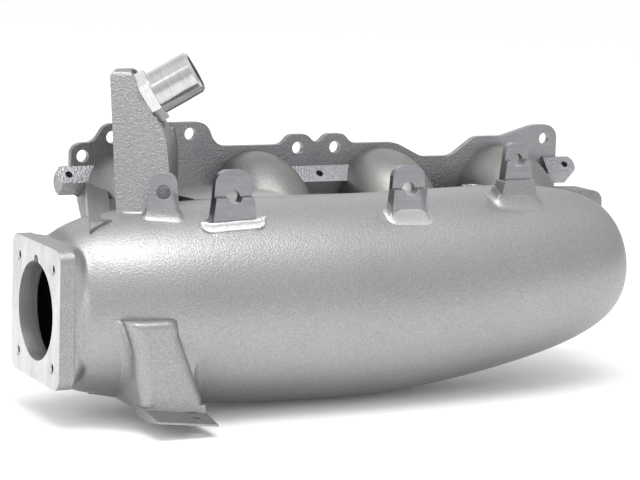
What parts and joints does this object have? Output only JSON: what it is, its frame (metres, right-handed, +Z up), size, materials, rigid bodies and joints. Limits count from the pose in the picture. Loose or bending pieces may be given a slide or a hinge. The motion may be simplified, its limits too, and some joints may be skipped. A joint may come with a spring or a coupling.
{
  "type": "intake manifold",
  "caption": "Four-runner side-plenum intake manifold with square throttle flange, scalloped head flange, water neck with hose nipple, rail bosses and bracket tabs.",
  "frame": {"origin": "centre of the head flange's gasket face, in line with the middle of the four ports", "axes": "+X along the engine away from the throttle, +Y out of the gasket face into the cylinder head, +Z up"},
  "size_m": [0.447, 0.185, 0.2255],
  "materials": {
    "blasted_cast": "shot-blasted sand casting",
    "smooth_cast": "smooth matte casting",
    "pebbled_cast": "coarse pebbled sand casting",
    "flange_cast": "dark cast face, machined edge",
    "machined_face": "satin machined",
    "machined": "machined",
    "turned": "bright turned",
    "turned_collar": "bright machined",
    "tab_plate": "brushed plate",
    "weld": "dressed weld bead"
  },
  "bodies": {
    "root": {"plenum_shell": "blasted_cast", "throttle_flange": "machined_face", "head_flange": "flange_cast", "runner_1": "smooth_cast", "runner_2": "smooth_cast", "runner_3": "smooth_cast", "runner_4": "smooth_cast", "bellmouth_1": "machined", "bellmouth_2": "machined", "bellmouth_3": "machined", "bellmouth_4": "machined", "water_tower": "pebbled_cast", "hose_nipple": "turned", "nipple_collar": "turned_collar", "left_rail_lug": "smooth_cast", "middle_rail_shelf": "smooth_cast", "right_rail_lug": "smooth_cast", "bridge_strut": "pebbled_cast", "bridge_web": "smooth_cast", "valley_deck": "smooth_cast", "rear_tie_bar": "smooth_cast", "port_plug": "turned_collar", "rear_right_block": "smooth_cast", "bracket_tab_1": "tab_plate", "bracket_tab_2": "tab_plate", "bracket_tab_3": "tab_plate", "bracket_tab_4": "tab_plate", "tab_2_weld": "weld", "tab_4_pedestal": "pebbled_cast", "support_foot": "blasted_cast"}
  },
  "joints": []
}
